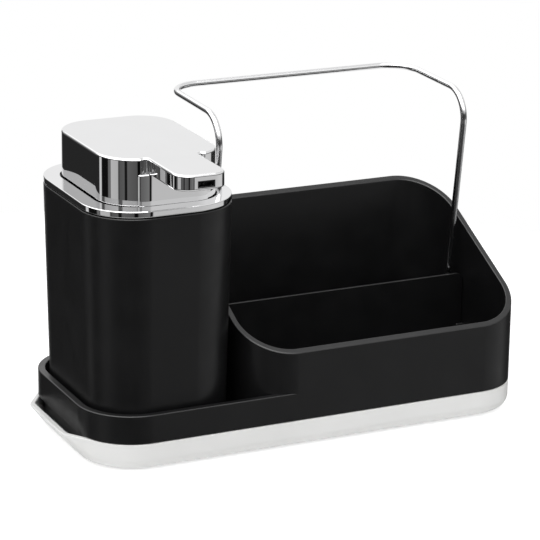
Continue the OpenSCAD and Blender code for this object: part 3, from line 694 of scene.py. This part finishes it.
def make_nozzle_shade_lining():
    """The lining of the slot, flush with the tongue's tip, in the nozzle insert's dark plastic. It
    covers the slot's chrome walls as painted shade.
    """
    play, t, chamfer = 0.02, 0.5, 0.1
    front, rear = tip_y + 0.03, tip_y + 1.55
    profile = [(0.0, front), (t - chamfer, front), (t, front + chamfer), (t, rear), (0.0, rear)]
    s = Shape()
    s.torus([[(x, y, z) for x, z in slot_outline(play, inset)] for inset, y in profile])
    return s.build("nozzle_shade_lining", shift=at_pump, flat_weight=False)


def make_spring():
    """The return spring's coil, between the cylinder's floor and the piston."""
    coil_wire_r, turns, coil_r, steps = 0.45, 7, 4.55, 40
    rise = spring_high - spring_low - 2 * coil_wire_r
    path = []
    for i in range(turns * steps + 1):
        a = 2 * math.pi * i / steps
        path.append(Vector((coil_r * math.cos(a), coil_r * math.sin(a),
                            spring_low + coil_wire_r + rise * i / (turns * steps))))
    s = Shape()
    sweep(s, path, coil_wire_r, sides=16)
    return s.build("spring_coil", shift=at_pump, sharp=50, flat_weight=False)


# ---------------------------------------------------------------- materials
def new_material(name):
    """A material's tree, its shader, and coordinates that stay with the piece."""
    m = bpy.data.materials.new(name)
    m.use_nodes = True
    nt = m.node_tree
    coords = nt.nodes.new("ShaderNodeTexCoord")
    return m, nt, nt.nodes["Principled BSDF"], coords.outputs["Object"]


def noise(nt, coords, scale, detail, rough=0.5):
    n = nt.nodes.new("ShaderNodeTexNoise")
    n.inputs["Scale"].default_value = scale
    n.inputs["Detail"].default_value = detail
    n.inputs["Roughness"].default_value = rough
    nt.links.new(coords, n.inputs["Vector"])
    return n.outputs["Fac"]


def ramp(nt, value, lo, hi, start=0.3, end=0.7):
    """A grey or coloured ramp over a value."""
    r = nt.nodes.new("ShaderNodeValToRGB")
    for stop, position, tone in zip(r.color_ramp.elements, (start, end), (lo, hi)):
        stop.position = position
        stop.color = (tone, tone, tone, 1) if isinstance(tone, float) else (*tone, 1)
    nt.links.new(value, r.inputs["Fac"])
    return r.outputs["Color"]


def bump(nt, shader, height, strength, distance):
    n = nt.nodes.new("ShaderNodeBump")
    n.inputs["Strength"].default_value = strength
    n.inputs["Distance"].default_value = distance
    nt.links.new(height, n.inputs["Height"])
    nt.links.new(n.outputs["Normal"], shader.inputs["Normal"])


def moulded(name, lo, hi, rough_lo, rough_hi, grain=2600.0, strength=0.12):
    """Moulded plastic: a fine even grain, with slow changes of tone and of gloss."""
    tone_scale, gloss_scale, grain_depth = 38.0, 90.0, 0.0002
    m, nt, shader, co = new_material(name)
    tone = ramp(nt, noise(nt, co, tone_scale, 2.0), lo, hi)
    nt.links.new(tone, shader.inputs["Base Color"])
    gloss = ramp(nt, noise(nt, co, gloss_scale, 4.0), rough_lo, rough_hi)
    nt.links.new(gloss, shader.inputs["Roughness"])
    bump(nt, shader, noise(nt, co, grain, 2.0), strength, grain_depth)
    return m


def metal(name, colour, rough_lo, rough_hi, wave=0.0):
    """Metal with slow changes of tone and of gloss, and a slow wave along its upright walls."""
    tone_scale, gloss_scale, wave_scale, wave_depth = 60.0, 220.0, 70.0, 0.0004
    m, nt, shader, co = new_material(name)
    shader.inputs["Metallic"].default_value = 1.0
    darker = tuple(0.985 * c for c in colour)
    tone = ramp(nt, noise(nt, co, tone_scale, 2.0), darker, colour)
    nt.links.new(tone, shader.inputs["Base Color"])
    gloss = ramp(nt, noise(nt, co, gloss_scale, 5.0, 0.6), rough_lo, rough_hi, 0.35, 0.75)
    nt.links.new(gloss, shader.inputs["Roughness"])
    if wave:
        stretch = nt.nodes.new("ShaderNodeMapping")
        stretch.inputs["Scale"].default_value = (1.0, 1.0, 0.35)
        nt.links.new(co, stretch.inputs["Vector"])
        bump(nt, shader, noise(nt, stretch.outputs["Vector"], wave_scale, 2.0), wave, wave_depth)
    return m


matte = ((0.0046, 0.0046, 0.0049), (0.0062, 0.0062, 0.0066), 0.32, 0.40)
plated = (0.80, 0.80, 0.805)
mats = {
    "black_plastic": moulded("matte_black", *matte),
    "divider_plastic": moulded("divider_black", *matte),
    "white_plastic": moulded("white_satin", (0.80, 0.80, 0.79), (0.83, 0.83, 0.82), 0.28, 0.36,
                             grain=1800.0, strength=0.04),
    "chrome": metal("bright_chrome", plated, 0.015, 0.04, wave=0.10),
    "wire": metal("chromed_wire", plated, 0.13, 0.19),
    "inner_black": moulded("inner_black", (0.012, 0.012, 0.0125), (0.016, 0.016, 0.0165),
                           0.3, 0.42),
    "milky_plastic": moulded("milky_natural", (0.62, 0.64, 0.64), (0.70, 0.72, 0.72), 0.3, 0.42,
                             strength=0.05),
    "dark_rubber": moulded("dark_rubber", (0.022, 0.022, 0.023), (0.034, 0.034, 0.035), 0.7, 0.85,
                           grain=1500.0, strength=0.3),
    "grey_rubber": moulded("grey_silicone", (0.28, 0.28, 0.285), (0.34, 0.34, 0.345), 0.55, 0.7,
                           grain=1500.0, strength=0.2),
    "steel": metal("steel", (0.62, 0.63, 0.65), 0.16, 0.3),
}


def dress(ob, slot_name):
    ob.data.materials.clear()
    ob.data.materials.append(mats[slot_name])


slot_of = {r["node"]: r["material_slot"] for r in frame["record"]["subparts"]}
for node_name, ob in frame["nodes"].items():
    dress(ob, slot_of[node_name])


def place(ob, body, slot_name, *nodes):
    dress(ob, slot_name)
    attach(ob, body)
    if nodes:
        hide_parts(*nodes)
    return ob


place(make_tray(), "tray", "white_plastic", "drip_tray")
place(make_holder(), "holder", "black_plastic", "holder")
place(make_divider(), "divider", "divider_plastic", "divider")
place(make_rail(), "rail", "wire", "towel_rail")
place(make_bottle(), "bottle", "black_plastic", "bottle")
place(make_collar(), "pump", "chrome", "collar_plate")
place(make_well(), "pump", slot_of["pump_well"], "pump_well")
place(make_head(), "head", "chrome", "head_shell")
# The slot's lining, whose dark plastic paints shade on the slot's walls
place(make_nozzle_shade_lining(), "head", slot_of["nozzle_insert"])
spring = place(make_spring(), "pump", slot_of["return_spring"], "return_spring")
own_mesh(spring)


# ---------------------------------------------------------------- studio
# A round white table stands in a white room. Cards round it, dark, grey and white, give the chrome
# its streaks, and only glossy rays see them. Each row of cards goes round by azimuth, in degrees
# from +X towards +Y, and has a grey at each stop.
low_cards = [(0, 0.66), (4, 0.02), (42, 0.02), (46, 0.80), (88, 0.80), (92, 0.022), (136, 0.022),
             (138, 0.70), (145, 0.70), (147, 0.006), (169, 0.006), (172, 0.18), (176, 0.18),
             (177.5, 0.01), (179.5, 0.56), (200.5, 0.52), (202.5, 0.006), (205, 0.10), (218, 0.12),
             (220, 0.008), (225, 0.008), (227, 0.13), (251, 0.10), (253, 0.003), (259, 0.003),
             (262, 0.13), (284, 0.20), (286, 0.004), (290, 0.004), (292, 0.60), (330, 0.70)]
high_cards = [(0, 0.97), (95, 0.97), (108, 0.60), (136, 0.46), (138, 0.80), (145, 0.75),
              (148, 0.10), (156, 0.10), (160, 0.50), (200, 0.62), (203, 0.12), (211, 0.12),
              (215, 0.58), (250, 0.50), (254, 0.10), (262, 0.10), (266, 0.50), (286, 0.56),
              (290, 0.80), (330, 0.97)]
between_cards = [(0, 0.20), (42, 0.30), (47, 1.0), (87, 1.0), (92, 0.14), (140, 0.08), (180, 0.04),
                 (275, 0.03), (292, 0.10), (315, 0.10), (330, 0.06)]
ceiling_cards = [(0, 0.85), (50, 0.85), (60, 1.3), (92, 1.4), (100, 1.8), (130, 3.2), (285, 3.2),
                 (300, 1.0), (345, 0.85)]
# The rows one above the other. Each takes over from what is below it between two heights, which
# are those of a ray's direction, from -1 straight down to 1 straight up.
rows = [(between_cards, -0.85, -0.72), (low_cards, -0.42, -0.40), (between_cards, -0.20, -0.16),
        (high_cards, 0.16, 0.20), (ceiling_cards, 0.36, 0.46)]
white = (1, 1, 1, 1)
world_strength = 0.51


def stage_floor():
    """The table, which glows a little, and more for the camera, so that it shows white."""
    table_r, table_at = 0.38, (-0.03, 0, 0)
    glow_low, glow_camera = 0.06, 0.6
    me = bpy.data.meshes.new("floor")
    bm = bmesh.new()
    bmesh.ops.create_circle(bm, cap_ends=True, segments=96, radius=table_r)
    bm.to_mesh(me)
    bm.free()
    ob = link("floor", me)
    ob.location = table_at
    m = bpy.data.materials.new("floor_white")
    m.use_nodes = True
    nt = m.node_tree
    shader = nt.nodes["Principled BSDF"]
    shader.inputs["Base Color"].default_value = (0.8, 0.8, 0.8, 1)
    shader.inputs["Roughness"].default_value = 0.6
    glow = nt.nodes.new("ShaderNodeEmission")
    level = nt.nodes.new("ShaderNodeMapRange")
    level.inputs["To Min"].default_value = glow_low
    level.inputs["To Max"].default_value = glow_camera
    add = nt.nodes.new("ShaderNodeAddShader")
    path = nt.nodes.new("ShaderNodeLightPath")
    nt.links.new(path.outputs["Is Camera Ray"], level.inputs["Value"])
    nt.links.new(level.outputs[0], glow.inputs["Strength"])
    nt.links.new(shader.outputs[0], add.inputs[0])
    nt.links.new(glow.outputs[0], add.inputs[1])
    nt.links.new(add.outputs[0], nt.nodes["Material Output"].inputs["Surface"])
    ob.data.materials.append(m)
    ob.visible_glossy = False


def area(name, at, target, size, power, glossy=False):
    d = bpy.data.lights.new(name, "AREA")
    d.energy = power
    d.shape = "SQUARE"
    d.size = size
    ob = link(name, d)
    ob.location = at
    ob.rotation_euler = (Vector(target) - Vector(at)).to_track_quat("-Z", "Y").to_euler()
    ob.visible_glossy = glossy


def studio_world():
    """Plain light for diffuse surfaces, white behind the object, and cards for glossy ones."""
    world = bpy.data.worlds.new("world")
    bpy.context.scene.world = world
    world.use_nodes = True
    nt = world.node_tree

    def math_node(operation, *values):
        node = nt.nodes.new("ShaderNodeMath")
        node.operation = operation
        for i, v in enumerate(values):
            if isinstance(v, float):
                node.inputs[i].default_value = v
            else:
                nt.links.new(v, node.inputs[i])
        return node.outputs[0]

    def background(colour, strength=1.0):
        node = nt.nodes.new("ShaderNodeBackground")
        node.inputs["Strength"].default_value = strength
        if isinstance(colour, tuple):
            node.inputs["Color"].default_value = colour
        else:
            nt.links.new(colour, node.inputs["Color"])
        return node.outputs[0]

    def mix_shaders(fac, a, b):
        node = nt.nodes.new("ShaderNodeMixShader")
        for value, socket in zip((fac, a, b), node.inputs):
            nt.links.new(value, socket)
        return node.outputs[0]

    co = nt.nodes.new("ShaderNodeTexCoord").outputs["Generated"]
    xyz = nt.nodes.new("ShaderNodeSeparateXYZ")
    nt.links.new(co, xyz.inputs[0])
    turn = math_node("ARCTAN2", xyz.outputs[1], xyz.outputs[0])
    turn = math_node("FRACT", math_node("DIVIDE", turn, 2 * math.pi))

    def row(cards):
        """A row of cards, whose last stop is its first again."""
        node = nt.nodes.new("ShaderNodeValToRGB")
        stops = node.color_ramp.elements
        for stop, (angle, grey) in zip((stops[0], stops[1]), (cards[0], (360, cards[0][1]))):
            stop.position, stop.color = angle / 360, (grey, grey, grey, 1)
        for angle, grey in cards[1:]:
            stops.new(angle / 360).color = (grey, grey, grey, 1)
        nt.links.new(turn, node.inputs["Fac"])
        return node.outputs["Color"]

    def between(a, b, lo, hi):
        """a below the height lo, b above the height hi, and both between them."""
        rise = nt.nodes.new("ShaderNodeMapRange")
        rise.inputs["From Min"].default_value = lo
        rise.inputs["From Max"].default_value = hi
        nt.links.new(xyz.outputs[2], rise.inputs["Value"])
        node = nt.nodes.new("ShaderNodeMix")
        node.data_type = "RGBA"
        nt.links.new(rise.outputs[0], node.inputs[0])
        for value, socket in ((a, node.inputs[6]), (b, node.inputs[7])):
            if isinstance(value, tuple):
                socket.default_value = value
            else:
                nt.links.new(value, socket)
        return node.outputs[2]

    cards_seen = white
    for cards, lo, hi in rows:
        cards_seen = between(cards_seen, row(cards), lo, hi)
    path = nt.nodes.new("ShaderNodeLightPath")
    lit = mix_shaders(path.outputs["Is Glossy Ray"], background(white, world_strength),
                      background(cards_seen))
    seen = math_node("MAXIMUM", path.outputs["Is Camera Ray"], path.outputs["Is Transmission Ray"])
    out = mix_shaders(seen, lit, background(white))
    nt.links.new(out, nt.nodes["World Output"].inputs["Surface"])


stage_floor()
studio_world()
area("top_light", (-0.2, -0.3, 1.35), (0, 0.0, 0.1), 1.2, 12, glossy=True)
area("left_light", (-1.2, -0.5, 0.7), (0, 0, 0.06), 0.8, 2.9)
area("right_light", (1.1, -0.9, 0.7), (0, 0, 0.06), 0.8, 1.7)

bpy.context.scene.view_settings.view_transform = "Standard"
